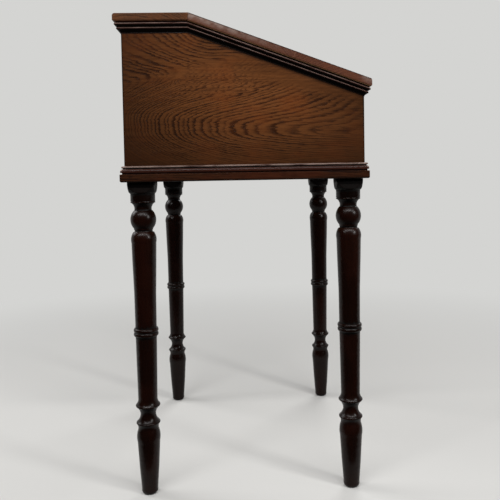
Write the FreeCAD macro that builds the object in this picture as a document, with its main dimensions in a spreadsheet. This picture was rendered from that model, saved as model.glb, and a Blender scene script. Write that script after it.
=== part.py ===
import FreeCAD, Part
import math
import os
import re
import Sketcher

# A clerk's standing desk in dark oak: a sloping lid hinged along the crest of a plain board box,
# a moulded cornice under the top, and a moulded base frame on four turned legs.
# X runs across the desk, -Y is the clerk's side, and the floor under the middle is the origin.
# All sizes are millimetres, and lid_slope is in degrees.

SIZES = {
    # The box and what stands out from it
    "carcase_width": 704,
    "carcase_depth": 572,
    "back_wall_height": 356,
    "wall_thickness": 18,
    "rebate_lip": 6,
    "lid_slope": 20.2,
    "shelf_depth": 177,
    "top_overhang": 17,
    "top_thickness": 18,
    "nose_top_round": 6,
    "nose_bottom_round": 3.5,
    "edge_round": 2.8,
    "lid_clearance": 0.3,
    # The floor of the box and the rail under the crest
    "floor_thickness": 10,
    "floor_gap": 0.4,
    "crest_rail_width": 46,
    "crest_rail_drop": 22,
    "housing_depth": 6,
    "glue_block_length": 70,
    "glue_block_leg": 30,
    "glue_block_spacing": 215,
    # The base frame
    "base_overhang": 10,
    "rail_width": 92,
    "rail_thickness": 19,
    "rail_tenon_thickness": 7,
    "rail_tenon_edge": 15,
    "fascia_round": 4,
    "fascia_top_round": 1.2,
    "base_moulding_height": 19,
    "base_moulding_projection": 8.6,
    # The cornice under the top
    "cornice_height": 26.5,
    "cornice_projection": 13.4,
    # The legs, from the floor up and from the base frame down
    "leg_height": 767,
    "leg_block": 63,
    "leg_inset": 14,
    "leg_tenon_diameter": 28,
    "block_drop": 28,
    "pommel_drop": 24,
    "pommel_diameter": 90.8,
    "collar_diameter": 59.4,
    "collar_drop": 22,
    "collar_line": 1.4,
    "collar_foot_diameter": 55.8,
    "neck_diameter": 41.5,
    "neck_drop": 15.5,
    "ball_top_diameter": 44,
    "ball_foot_diameter": 46,
    "ball_drop": 50,
    "waist_diameter": 43.5,
    "bead_rise": 3,
    "shoulder_top_diameter": 50.5,
    "shoulder_diameter": 59.8,
    "shoulder_drop": 32,
    "upper_shaft_diameter": 57.8,
    "upper_shaft_drop": 44,
    "mid_shaft_diameter": 53,
    "mid_shaft_rise": 86,
    "shaft_diameter": 51.4,
    "ring_root_diameter": 54.8,
    "ring_rise": 20,
    "lower_shaft_rise": 155,
    "shaft_foot_diameter": 46.8,
    "spool_ring_diameter": 57.6,
    "spool_ring_rise": 4.5,
    "spool_flare_rise": 14,
    "spool_half_rise": 19,
    "spool_diameter": 37.6,
    "bell_diameter": 55.8,
    "bell_rise": 5,
    "quirk_diameter": 49.6,
    "quirk_rise": 12.5,
    "quirk_flat_rise": 2.5,
    "foot_diameter": 54.9,
    "foot_shoulder_rise": 32,
    "foot_taper_rise": 118,
    "peg_diameter": 47.6,
    "peg_rise": 54,
    "toe_diameter": 39.4,
    "toe_rise": 12,
    "sole_diameter": 29,
    # The lid, made up of three boards with two battens beneath
    "lid_upper_width": 80,
    "batten_width": 48,
    "batten_thickness": 15,
    "batten_spacing": 430,
    "batten_margin": 42,
    # The butt hinges along the crest
    "crest_gap": 0.8,
    "hinge_length": 64,
    "hinge_inset": 112,
    "knuckle_diameter": 7,
    "knuckle_play": 0.3,
    "hinge_pin_diameter": 2.6,
    "leaf_width": 14,
    "leaf_thickness": 1.8,
    # The lid lock, its strike and its keyhole plate
    "lock_width": 62,
    "lock_depth": 11,
    "lock_foot": 24,
    "lock_plate_thickness": 1.8,
    "lock_screw_edge": 7,
    "bolt_width": 24,
    "bolt_thickness": 5,
    "bolt_setback": 1,
    "bolt_throw": 12,
    "bolt_play": 0.1,
    "keyhole_diameter": 6.4,
    "keyhole_drop": 11,
    "keyhole_slot": 3.2,
    "escutcheon_width": 21,
    "escutcheon_height": 38,
    "escutcheon_thickness": 1.2,
    "escutcheon_margin": 9,
    "strike_length": 58,
    "strike_width": 26,
    "strike_thickness": 1.5,
    "strike_play": 1.2,
    # Screws, nails and pins, each with its head
    "hinge_screw_diameter": 3,
    "hinge_screw_head": 6,
    "hinge_screw_length": 16,
    "lock_screw_diameter": 3,
    "lock_screw_head": 6,
    "lock_screw_length": 15,
    "strike_screw_length": 10,
    "batten_screw_diameter": 4.2,
    "batten_screw_head": 8.4,
    "batten_screw_length": 26,
    "base_screw_diameter": 5,
    "base_screw_head": 10,
    "base_screw_length": 46,
    "base_screw_spacing": 250,
    "nail_diameter": 3,
    "nail_head": 6,
    "nail_length": 26,
    "nail_inset": 44,
    "nail_edge": 30,
    "pin_diameter": 1.6,
    "pin_head": 3,
    "pin_length": 5,
    "pin_edge": 4.2,
    "fit_clearance": 0.05,
    "overrun": 5,
}

# Shares that place one thing along another.
SHARES = {
    "tenon_reach_share": 0.7,
    "leaf_screw_share": 0.62,
    "lid_middle_share": 0.493,
}
LEAF_SCREW_SHARES = (0.16, 0.5, 0.84)
BATTEN_SCREW_SHARES = (0.12, 0.5, 0.88)
KNUCKLE_COUNT = 5

DERIVED = {
    "slope_sin": "sin(lid_slope * 1deg)",
    "slope_cos": "cos(lid_slope * 1deg)",
    "slope_tan": "tan(lid_slope * 1deg)",
    "mitre_sin": "sin(lid_slope / 2 * 1deg)",
    "mitre_cos": "cos(lid_slope / 2 * 1deg)",
    "half_width": "carcase_width / 2",
    "half_depth": "carcase_depth / 2",
    "inner_half_width": "half_width - wall_thickness",
    "inner_half_depth": "half_depth - wall_thickness",
    "top_half_width": "half_width + top_overhang",
    "top_half_depth": "half_depth + top_overhang",
    "base_half_width": "half_width + base_overhang",
    "base_half_depth": "half_depth + base_overhang",
    "base_top": "leg_height + rail_thickness",
    "shelf_underside": "base_top + back_wall_height",
    "desk_height": "shelf_underside + top_thickness",
    "crest_y": "top_half_depth - shelf_depth",
    "crest_mitre_run": "(crest_gap / 2 + top_thickness * mitre_sin) / mitre_cos",
    "wall_crest_y": "crest_y + top_thickness * mitre_sin / mitre_cos + lid_clearance / slope_tan",
    "wall_front_top": "shelf_underside - (wall_crest_y + half_depth) * slope_tan",
    "lid_length": "(crest_y + top_half_depth) / slope_cos",
    "lid_middle_width": "(lid_length - lid_upper_width) * lid_middle_share",
    "leg_x": "base_half_width - leg_inset - leg_block / 2",
    "leg_y": "base_half_depth - leg_inset - leg_block / 2",
    "block_bottom": "leg_height - block_drop",
    "collar_bottom": "block_bottom - collar_drop",
    "neck_height": "collar_bottom - neck_drop",
    "waist_height": "neck_height - ball_drop",
    "shoulder_height": "waist_height - shoulder_drop",
    "upper_shaft_height": "shoulder_height - upper_shaft_drop",
    "foot_shoulder_height": "toe_rise + foot_taper_rise",
    "quirk_height": "foot_shoulder_height + foot_shoulder_rise",
    "bell_height": "quirk_height + quirk_rise",
    "spool_height": "bell_height + bell_rise + spool_half_rise",
    "spool_ring_height": "spool_height + spool_half_rise",
    "shaft_foot_height": "spool_ring_height + spool_ring_rise + spool_flare_rise",
    "ring_height": "shaft_foot_height + lower_shaft_rise",
    "rail_tenon_room": "rail_width - leg_inset - leg_block / 2 - leg_tenon_diameter / 2",
    "rail_tenon_length": "rail_tenon_room * tenon_reach_share",
    "floor_board_width": "(2 * inner_half_depth - 2 * floor_gap) / 3",
    "knuckle_pitch": f"hinge_length / {KNUCKLE_COUNT}",
    "hinge_start": "hinge_inset - top_half_width",
    "lock_top": "wall_front_top",
    "key_height": "wall_front_top - cornice_height - escutcheon_margin - escutcheon_height / 2",
    "lock_bottom": "key_height - keyhole_drop - lock_foot",
    "lock_face_y": "wall_thickness - half_depth",
    "bolt_y": "lock_face_y - lock_depth / 2",
    "bolt_bottom": "key_height + keyhole_diameter",
    "strike_along": "(crest_y + top_thickness * slope_sin - bolt_y) / slope_cos",
}

# Mouldings, as shares of their projection and height: out from the wall, up or down, and how far
# the stretch to the next corner swells outwards, as a share of its length.
CORNICE_SHARES = [
    (0, 0, 0), (0.78, 0, 0), (0.78, -0.13, 0.46), (0.78, -0.36, 0), (0.5, -0.38, 0), (0.5, -0.5, 0.46),
    (0.5, -0.69, 0), (0.36, -0.71, -0.22), (0.06, -0.96, 0), (0.06, -1, 0), (0, -1, 0),
]
BASE_MOULDING_SHARES = [
    (0, 0, 0), (0.6, 0, 0), (0.6, 0.17, 0), (1, 0.19, 0), (1, 0.26, 0.16), (0.62, 0.62, 0),
    (0.42, 0.62, 0), (0.42, 0.73, 0), (0.6, 0.75, 0.3), (0.6, 0.96, 0), (0.45, 1, 0), (0, 1, 0),
]

doc = FreeCAD.newDocument("clerks_standing_desk")
sheet = doc.addObject("Spreadsheet::Sheet", "Sizes")
cells = list(SIZES.items()) + list(SHARES.items())
cells += [(name, "=" + formula) for name, formula in DERIVED.items()]
for row, (name, content) in enumerate(cells, start=1):
    sheet.set(f"A{row}", name)
    sheet.set(f"B{row}", str(content))
    sheet.setAlias(f"B{row}", name)
doc.recompute()
names = {name for name, content in cells}
nodes = []


def refer(formula):
    """The formula, with every size in it written as a reference to its cell."""
    return re.sub(r"[a-z]\w*", lambda word: f"Sizes.{word[0]}" if word[0] in names else word[0], formula)


def value(formula):
    """The formula's present value."""
    return float(sheet.evalExpression(formula))


def bind(piece, formulas):
    for path, formula in formulas.items():
        piece.setExpression(path, refer(formula))


def place(piece, at, turn=None):
    """Sets a piece's corner or axis foot, and a turn of so many degrees about an axis."""
    if turn:
        axis, angle = turn
        piece.Placement.Rotation = FreeCAD.Rotation(FreeCAD.Vector(*axis), value(angle))
        bind(piece, {"Placement.Rotation.Angle": angle})
    bind(piece, {f"Placement.Base.{axis}": formula for axis, formula in zip("xyz", at)})
    return piece


def node(piece, label):
    """Marks a piece as a finished sub-part under its own name."""
    piece.Label = label
    nodes.append(piece)
    return piece


def box(name, low, high, turn=None, at=None):
    """A block between two corners, or one of that size turned about the point given by at."""
    block = doc.addObject("Part::Box", name)
    for side, start, end in zip(("Length", "Width", "Height"), low, high):
        bind(block, {side: f"({end}) - ({start})"})
    return place(block, at or low, turn)


def rod(name, diameter, length, at, turn=None):
    cylinder = doc.addObject("Part::Cylinder", name)
    bind(cylinder, {"Radius": f"({diameter}) / 2", "Height": length})
    return place(cylinder, at, turn)


def together(kind, name, pieces):
    group = doc.addObject(kind, name)
    if kind == "Part::Compound":
        group.Links = pieces
    else:
        group.Shapes = pieces
    return group


def cut(base, tools, name):
    """The base with each of the tools' shapes taken out of it."""
    for count, tool in enumerate(tools, start=1):
        trimmed = doc.addObject("Part::Cut", f"{name}_cut{count}")
        trimmed.Base = base
        trimmed.Tool = tool
        base = trimmed
    return base


def mirror(source, normal, label):
    """The source's twin on the other side of the desk's middle."""
    twin = doc.addObject("Part::Mirroring", label)
    twin.Source = source
    twin.Normal = normal
    return twin


ACROSS = (1, 0, 0)
DEEP = (0, 1, 0)
PLANES = {"XY": "XY_Plane", "XZ": "XZ_Plane", "YZ": "YZ_Plane"}


def draw(body, plane, outline, offset="0"):
    """A closed sketch through corners given as formulas, each with the swell of its next stretch."""
    sketch = body.newObject("Sketcher::SketchObject", body.Name + "_sketch")
    origin = [item for item in body.Origin.OriginFeatures if item.Role == PLANES[plane]]
    sketch.AttachmentSupport = [(origin[0], "")]
    sketch.MapMode = "FlatFace"
    if offset != "0":
        bind(sketch, {"AttachmentOffset.Base.z": f"-({offset})" if plane == "XZ" else offset})
    corners = [FreeCAD.Vector(value(u), value(v), 0) for u, v, *rest in outline]
    following = corners[1:] + corners[:1]
    doubled_area = sum(a.x * b.y - b.x * a.y for a, b in zip(corners, following))
    ends = []
    for (u, v, *rest), start, end in zip(outline, corners, following):
        swell = math.copysign(rest[0], rest[0] * doubled_area) if rest and rest[0] else 0
        if swell:
            sketch.addGeometry(swollen_arc(start, end, swell))
            ends.append((1, 2) if swell > 0 else (2, 1))
        else:
            sketch.addGeometry(Part.LineSegment(start, end))
            ends.append((1, 2))
    count = len(outline)
    for index in range(count):
        after = (index + 1) % count
        meeting = (index, ends[index][1], after, ends[after][0])
        sketch.addConstraint(Sketcher.Constraint("Coincident", *meeting))
    for index, (u, v, *rest) in enumerate(outline):
        start = ends[index][0]
        for kind, axis, formula, place_now in (
            ("DistanceX", -2, u, corners[index].x),
            ("DistanceY", -1, v, corners[index].y),
        ):
            if formula == "0":
                sketch.addConstraint(Sketcher.Constraint("PointOnObject", index, start, axis))
            else:
                dimension = sketch.addConstraint(Sketcher.Constraint(kind, -1, 1, index, start, place_now))
                bind(sketch, {f"Constraints[{dimension}]": formula})
        if rest and rest[0]:
            next_u, next_v = outline[(index + 1) % count][:2]
            bend = (1 + 4 * rest[0] ** 2) / (8 * abs(rest[0]))
            radius = f"sqrt((({next_u}) - ({u})) ^ 2 + (({next_v}) - ({v})) ^ 2) * {bend}"
            dimension = sketch.addConstraint(Sketcher.Constraint("Radius", index, value(radius)))
            bind(sketch, {f"Constraints[{dimension}]": radius})
    return sketch


def swollen_arc(start, end, swell):
    """An arc that swells to the right of the way from start to end, by a share of that way."""
    way = end - start
    right = FreeCAD.Vector(way.y, -way.x, 0)
    radius_share = (1 + 4 * swell ** 2) / (8 * swell)
    middle = (start + end) * 0.5 + right * (swell - radius_share)
    first, last = (start, end) if swell > 0 else (end, start)
    angles = [math.atan2(point.y - middle.y, point.x - middle.x) for point in (first, last)]
    if angles[1] < angles[0]:
        angles[1] += 2 * math.pi
    circle = Part.Circle(middle, FreeCAD.Vector(0, 0, 1), way.Length * abs(radius_share))
    return Part.ArcOfCircle(circle, *angles)


def feature(body, kind, sketch, formulas, **settings):
    """Adds a feature made from a sketch to the body."""
    step = body.newObject("PartDesign::" + kind, body.Name + "_" + kind.lower())
    step.Profile = sketch
    for name, setting in settings.items():
        setattr(step, name, setting)
    bind(step, formulas)
    return step


def slab(label, plane, outline, start, length):
    """A body padded from an outline, along +X for the YZ plane, +Y for XZ and +Z for XY."""
    body = doc.addObject("PartDesign::Body", label)
    sketch = draw(body, plane, outline, start)
    feature(body, "Pad", sketch, {"Length": length}, Reversed=plane == "XZ")
    return body


def mitre(body, outline):
    """Takes the end of a moulding off, straight down through an outline seen from above."""
    sketch = draw(body, "XY", outline)
    return feature(body, "Pocket", sketch, {}, Type="ThroughAll", SideType="Symmetric")


def rounded(body, radius, chosen):
    """Rounds the edges of the body so far that a test of their bounding box picks out."""
    doc.recompute()
    base = body.Tip
    picked = [f"Edge{i}" for i, edge in enumerate(base.Shape.Edges, start=1) if chosen(edge.BoundBox)]
    fillet = body.newObject("PartDesign::Fillet", body.Name + "_fillet")
    fillet.Base = (base, picked)
    bind(fillet, {"Radius": radius})
    return fillet


def lies_at(low, high, formula):
    """Whether a span of an edge's box lies at one place."""
    place_there = value(formula)
    near = value("fit_clearance")
    return abs(low - place_there) < near and abs(high - place_there) < near


def screw(name, at, turn, kind, length, growth="0"):
    """A countersunk screw or nail whose head is flush at its foot point; growth makes its hole."""
    shank = f"{kind}_diameter + 2 * {growth}"
    head = f"{kind}_head + 2 * {growth}"
    cone = doc.addObject("Part::Cone", name + "_head")
    head_height = f"({kind}_head - {kind}_diameter) / 2"
    bind(cone, {"Radius1": f"({head}) / 2", "Radius2": f"({shank}) / 2", "Height": head_height})
    place(cone, at, turn)
    stem = rod(name + "_stem", shank, f"{length} + {growth}", at, turn)
    return together("Part::MultiFuse", name, [cone, stem])


def screws(label, places, turn, kind, length):
    """A set of like fasteners, made a sub-part; gives back the set of holes they need."""
    group = [screw(f"{label}_{i}", at, turn, kind, length) for i, at in enumerate(places, start=1)]
    holes = [
        screw(f"{label}_hole_{i}", at, turn, kind, length, "fit_clearance")
        for i, at in enumerate(places, start=1)
    ]
    node(together("Part::Compound", label, group), label)
    return together("Part::Compound", label + "_holes", holes)


def on_slope(along, below):
    """Depth and height of a point so far down the lid from the crest, and so far under its face."""
    y = f"crest_y - ({along}) * slope_cos + ({below}) * slope_sin"
    z = f"desk_height - ({along}) * slope_sin - ({below}) * slope_cos"
    return y, z


def on_mitre(behind, below):
    """Depth and height of a point behind the crest's mitre plane and below the hinge line."""
    y = f"crest_y + ({behind}) * mitre_cos + ({below}) * mitre_sin"
    z = f"desk_height + ({behind}) * mitre_sin - ({below}) * mitre_cos"
    return y, z


UP = None
TO_RIGHT = (DEEP, "90")
TO_FRONT = (ACROSS, "90")
TO_BACK = (ACROSS, "-90")
INTO_SHELF = (ACROSS, "lid_slope / 2 - 90")
INTO_LID_EDGE = (ACROSS, "lid_slope / 2 + 90")
INTO_LID = (ACROSS, "lid_slope")
ALONG_MITRE = (ACROSS, "lid_slope / 2")

# Legs: a square block with turned-down corners, a collar, a ball, a long tapered shaft with a double
# ring, a spool between two rings and a peg foot, all turned from one piece with a round tenon above.
# Each row gives half a diameter, its height, and the swell of the stretch above as a share of it.
leg = doc.addObject("PartDesign::Body", "leg_front_left")
block_outline = [
    ("-leg_block / 2", "-leg_block / 2"), ("leg_block / 2", "-leg_block / 2"),
    ("leg_block / 2", "leg_block / 2"), ("-leg_block / 2", "leg_block / 2"),
]
block_sketch = draw(leg, "XY", block_outline, "block_bottom")
feature(leg, "Pad", block_sketch, {"Length": "block_drop"})
pommel_shares = [
    ("collar_diameter / 2", "block_bottom", -0.07), ("pommel_diameter / 2", "block_bottom + pommel_drop"),
    ("leg_block", "block_bottom + pommel_drop"), ("leg_block", "block_bottom - pommel_drop"),
    ("collar_diameter / 2", "block_bottom - pommel_drop"),
]
pommel_sketch = draw(leg, "XZ", pommel_shares)
feature(leg, "Groove", pommel_sketch, {}, ReferenceAxis=(pommel_sketch, ["V_Axis"]), Angle=360)
turning_shares = [
    ("0", "0"), ("sole_diameter / 2", "0", 0.17), ("toe_diameter / 2", "toe_rise", 0),
    ("peg_diameter / 2", "toe_rise + peg_rise", 0),
    ("foot_diameter / 2", "foot_shoulder_height", 0.075), ("quirk_diameter / 2", "quirk_height", 0),
    ("quirk_diameter / 2", "quirk_height + quirk_flat_rise", -0.1),
    ("bell_diameter / 2", "bell_height", 0.24), ("bell_diameter / 2", "bell_height + bell_rise", -0.115),
    ("spool_diameter / 2", "spool_height", -0.115), ("spool_ring_diameter / 2", "spool_ring_height", 0.22),
    ("spool_ring_diameter / 2", "spool_ring_height + spool_ring_rise", -0.1),
    ("shaft_foot_diameter / 2", "shaft_foot_height", 0), ("shaft_diameter / 2", "ring_height", 0),
    ("ring_root_diameter / 2", "ring_height", 0.27),
    ("ring_root_diameter / 2", "ring_height + ring_rise / 2", 0.27),
    ("ring_root_diameter / 2", "ring_height + ring_rise", 0),
    ("shaft_diameter / 2", "ring_height + ring_rise", 0),
    ("mid_shaft_diameter / 2", "ring_height + ring_rise + mid_shaft_rise", 0),
    ("upper_shaft_diameter / 2", "upper_shaft_height", 0),
    ("shoulder_diameter / 2", "shoulder_height", 0.11),
    ("shoulder_top_diameter / 2", "waist_height - 2 * bead_rise", -0.2),
    ("waist_diameter / 2", "waist_height - bead_rise", 0), ("waist_diameter / 2", "waist_height", 0),
    ("ball_foot_diameter / 2", "waist_height", 0),
    ("ball_foot_diameter / 2", "waist_height + bead_rise", 0.195),
    ("ball_top_diameter / 2", "neck_height - bead_rise", 0),
    ("neck_diameter / 2", "neck_height - bead_rise", 0),
    ("neck_diameter / 2", "neck_height", -0.13), ("collar_foot_diameter / 2", "collar_bottom", 0),
    ("collar_diameter / 2", "collar_bottom", 0),
    ("collar_diameter / 2", "collar_bottom + 2 * collar_line", 0),
    ("collar_diameter / 2 - collar_line", "collar_bottom + 2.5 * collar_line", 0),
    ("collar_diameter / 2", "collar_bottom + 3 * collar_line", 0),
    ("collar_diameter / 2", "block_bottom + pommel_drop / 2", 0),
    ("leg_tenon_diameter / 2", "block_bottom + pommel_drop / 2", 0),
    ("leg_tenon_diameter / 2", "base_top", 0), ("0", "base_top"),
]
turned_sketch = draw(leg, "XZ", turning_shares)
feature(leg, "Revolution", turned_sketch, {}, ReferenceAxis=(turned_sketch, ["V_Axis"]), Angle=360)
node(place(leg, ("-leg_x", "-leg_y", "0")), "leg_front_left")
leg_back = node(mirror(leg, DEEP, "leg_back_left"), "leg_back_left")
node(mirror(leg, ACROSS, "leg_front_right"), "leg_front_right")
node(mirror(leg_back, ACROSS, "leg_back_right"), "leg_back_right")

# Base screws come up through the rails into the walls of the box.
side_screw_places = [
    (f"{side} * (half_width - wall_thickness / 2)", f"{end} * base_screw_spacing / 2", "leg_height")
    for side in (-1, 1) for end in (-1, 1)
]
end_screw_places = [
    (f"{side} * base_screw_spacing / 2", f"{end} * (half_depth - wall_thickness / 2)", "leg_height")
    for side in (-1, 1) for end in (-1, 1)
]
base_holes = screws(
    "base_screws", side_screw_places + end_screw_places, UP, "base_screw", "base_screw_length",
)

# Floor nails hold the three floor boards down on the side rails.
nail_places = [
    (f"{side} * (inner_half_width - nail_inset)",
     f"{board} * (floor_board_width + floor_gap) + {end} * (floor_board_width / 2 - nail_edge)",
     "base_top + floor_thickness")
    for side in (-1, 1) for board in (-1, 0, 1) for end in (-1, 1)
]
nail_holes = screws("floor_nails", nail_places, (ACROSS, "180"), "nail", "nail_length")

# Base frame: the side rails run the whole depth and take the legs' tenons; the front and back rails
# are tenoned in between them. The outer edge of the frame is the plain fascia, with softened arrises.
side_rail = slab("side_rail", "XZ", [
    ("-base_half_width", "leg_height"), ("rail_width - base_half_width", "leg_height"),
    ("rail_width - base_half_width", "base_top"), ("-base_half_width", "base_top"),
], "-base_half_depth", "2 * base_half_depth")


def outer_edge_of_side_rail(level):
    """A test for the side rail's outer arrises at one level: the long one and both ends."""
    def test(edge):
        if not lies_at(edge.ZMin, edge.ZMax, level):
            return False
        at_ends = [lies_at(edge.YMin, edge.YMax, end) for end in ("-base_half_depth", "base_half_depth")]
        return lies_at(edge.XMin, edge.XMax, "-base_half_width") or any(at_ends)
    return test


rounded(side_rail, "fascia_round", outer_edge_of_side_rail("leg_height"))
rounded(side_rail, "fascia_top_round", outer_edge_of_side_rail("base_top"))
tenon_low = "leg_height + rail_thickness / 2 - rail_tenon_thickness / 2"
tenon_high = "leg_height + rail_thickness / 2 + rail_tenon_thickness / 2"


def tenon(name, side, end):
    """The tongue of a front or back rail in the side rail, for one corner of the frame."""
    inner = "base_half_width - rail_width"
    xs = sorted((f"{side} * ({inner})", f"{side} * ({inner} + rail_tenon_length)"), key=value)
    near = "base_half_depth - rail_width + rail_tenon_edge"
    ys = sorted((f"{end} * ({near})", f"{end} * (base_half_depth - rail_tenon_edge)"), key=value)
    return box(name, (xs[0], ys[0], tenon_low), (xs[1], ys[1], tenon_high))


tenon_bore = "leg_tenon_diameter + 2 * fit_clearance"
bores = [
    rod(f"leg_bore_{label}", tenon_bore, "rail_thickness", ("-leg_x", f"{end} * leg_y", "leg_height"))
    for label, end in (("front", -1), ("back", 1))
]
mortises = [tenon(f"mortise_{label}", -1, end) for label, end in (("front", -1), ("back", 1))]
rail_left = cut(side_rail, bores + mortises + [base_holes, nail_holes], "base_rail_left")
node(rail_left, "base_rail_left")
node(mirror(rail_left, ACROSS, "base_rail_right"), "base_rail_right")

end_rail = slab("end_rail", "YZ", [
    ("-base_half_depth", "leg_height"), ("rail_width - base_half_depth", "leg_height"),
    ("rail_width - base_half_depth", "base_top"), ("-base_half_depth", "base_top"),
], "rail_width - base_half_width", "2 * (base_half_width - rail_width)")


def outer_edge_of_end_rail(level):
    """A test for the front rail's outer arris at one level."""
    def test(edge):
        at_front = lies_at(edge.YMin, edge.YMax, "-base_half_depth")
        return at_front and lies_at(edge.ZMin, edge.ZMax, level)
    return test


rounded(end_rail, "fascia_round", outer_edge_of_end_rail("leg_height"))
rounded(end_rail, "fascia_top_round", outer_edge_of_end_rail("base_top"))
tongues = [tenon(f"tongue_{label}", side, -1) for label, side in (("left", -1), ("right", 1))]
tongued_rail = together("Part::MultiFuse", "tongued_rail", [end_rail] + tongues)
rail_front = node(cut(tongued_rail, [base_holes, nail_holes], "base_rail_front"), "base_rail_front")
node(mirror(rail_front, DEEP, "base_rail_back"), "base_rail_back")

# Base mouldings: an ovolo between two quirks and a top bead, mitred round the foot of the box.


def profile(shares, wall, projection, foot, height, lean="0"):
    """A moulding's outline standing out from a wall at +wall or -wall, leaning down as it goes out."""
    sign = "-1" if wall.startswith("-") else "1"
    return [
        (f"{wall} + {sign} * {out} * {projection}",
         f"{foot} + {up} * {height} - {out} * {projection} * {lean}", swell)
        for out, up, swell in shares
    ]


def corner_waste(side, end, projection):
    """What is beyond the mitre line of a corner, seen from above, for the side pieces there."""
    reach = f"({projection} + overrun)"
    wall_x, wall_y = f"{side} * half_width", f"{end} * half_depth"
    out_x, out_y = f"{wall_x} + {side} * {reach}", f"{wall_y} + {end} * {reach}"
    in_x = f"{wall_x} - {side} * overrun"
    return [(wall_x, wall_y), (out_x, out_y), (in_x, out_y), (in_x, wall_y)]


def end_waste(side, end, projection):
    """What is beyond the mitre line of a corner for the front and back pieces."""
    reach = f"({projection} + overrun)"
    wall_x, wall_y = f"{side} * half_width", f"{end} * half_depth"
    out_x, out_y = f"{wall_x} + {side} * {reach}", f"{wall_y} + {end} * {reach}"
    in_y = f"{wall_y} - {end} * overrun"
    return [(wall_x, wall_y), (out_x, out_y), (out_x, in_y), (wall_x, in_y)]


def end_moulding(label, shares, wall, projection, foot, height, lean="0"):
    """A moulding across the front or back of the box, mitred at both ends."""
    outline = profile(shares, wall, projection, foot, height, lean)
    body = slab(label, "YZ", outline, f"-half_width - {projection}", f"2 * (half_width + {projection})")
    end = -1 if wall.startswith("-") else 1
    for side in (-1, 1):
        mitre(body, end_waste(side, end, projection))
    return node(body, label)


base_profile = profile(
    BASE_MOULDING_SHARES, "-half_width", "base_moulding_projection", "base_top", "base_moulding_height",
)
base_moulding = slab(
    "base_moulding_left", "XZ", base_profile,
    "-half_depth - base_moulding_projection", "2 * (half_depth + base_moulding_projection)",
)
for end in (-1, 1):
    mitre(base_moulding, corner_waste(-1, end, "base_moulding_projection"))
node(base_moulding, "base_moulding_left")
node(mirror(base_moulding, ACROSS, "base_moulding_right"), "base_moulding_right")
for label, wall in (("base_moulding_front", "-half_depth"), ("base_moulding_back", "half_depth")):
    end_moulding(
        label, BASE_MOULDING_SHARES, wall, "base_moulding_projection", "base_top", "base_moulding_height",
    )

# Walls of the box: wide single boards, the front and back let into rebates in the sides.
side_wall = slab("side_wall", "YZ", [
    ("-half_depth", "base_top"), ("half_depth", "base_top"), ("half_depth", "shelf_underside"),
    ("wall_crest_y", "shelf_underside"), ("-half_depth", "wall_front_top"),
], "-half_width", "wall_thickness")
rebates = [
    box(f"rebate_{label}", ("rebate_lip - half_width", low, "base_top - overrun"),
        ("overrun - inner_half_width", high, "shelf_underside + overrun"))
    for label, low, high in (
        ("front", "-half_depth - overrun", "-inner_half_depth"),
        ("back", "inner_half_depth", "half_depth + overrun"),
    )
]
crest_rail_low = ("-inner_half_width - housing_depth", "wall_crest_y", "shelf_underside - crest_rail_drop")
crest_rail_high = ("inner_half_width + housing_depth", "wall_crest_y + crest_rail_width", "shelf_underside")
housing = box("crest_housing", crest_rail_low, crest_rail_high)
wall_left = node(cut(side_wall, rebates + [housing, base_holes], "side_panel_left"), "side_panel_left")
node(mirror(wall_left, ACROSS, "side_panel_right"), "side_panel_right")

back_wall = box(
    "back_wall", ("rebate_lip - half_width", "inner_half_depth", "base_top"),
    ("half_width - rebate_lip", "half_depth", "shelf_underside"),
)
node(cut(back_wall, [base_holes], "back_board"), "back_board")

front_wall = slab("front_wall", "YZ", [
    ("-half_depth", "base_top"), ("-inner_half_depth", "base_top"),
    ("-inner_half_depth", "wall_front_top + wall_thickness * slope_tan"), ("-half_depth", "wall_front_top"),
], "rebate_lip - half_width", "2 * (half_width - rebate_lip)")
lock_low = ("-lock_width / 2", "lock_face_y - lock_depth", "lock_bottom")
lock_recess = box(
    "lock_recess", lock_low,
    ("lock_width / 2", "lock_face_y + overrun", "wall_front_top + wall_thickness * slope_tan + overrun"),
)
keyhole_end = "lock_face_y - lock_plate_thickness"
key_bore = rod(
    "key_bore", "keyhole_diameter", "wall_thickness + escutcheon_thickness - lock_plate_thickness",
    ("0", "-half_depth - escutcheon_thickness", "key_height"), TO_BACK,
)
key_slot = box(
    "key_slot",
    ("-keyhole_slot / 2", "-half_depth - escutcheon_thickness", "key_height - keyhole_drop"),
    ("keyhole_slot / 2", keyhole_end, "key_height"),
)
keyhole = together("Part::MultiFuse", "keyhole", [key_bore, key_slot])
lock_screw_places = [
    (f"{side} * (lock_width / 2 - lock_screw_edge)", "lock_face_y", height)
    for side in (-1, 1) for height in ("lock_bottom + lock_screw_edge", "lock_top - lock_screw_edge")
]
lock_holes = screws(
    "lock_screws", lock_screw_places, TO_FRONT, "lock_screw", "lock_screw_length",
)
pin_places = [
    ("0", "-half_depth - escutcheon_thickness", f"key_height + {end} * (escutcheon_height / 2 - pin_edge)")
    for end in (-1, 1)
]
pin_holes = screws("escutcheon_pins", pin_places, TO_BACK, "pin", "pin_length")
front_tools = [lock_recess, keyhole, lock_holes, pin_holes, base_holes]
node(cut(front_wall, front_tools, "front_board"), "front_board")

# Floor boards lie across the rails inside the walls.
for label, board in (("floor_board_front", -1), ("floor_board_middle", 0), ("floor_board_back", 1)):
    middle = f"{board} * (floor_board_width + floor_gap)"
    plank = box(
        label + "_plank", ("-inner_half_width", f"{middle} - floor_board_width / 2", "base_top"),
        ("inner_half_width", f"{middle} + floor_board_width / 2", "base_top + floor_thickness"),
    )
    node(cut(plank, [nail_holes], label), label)

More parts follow.
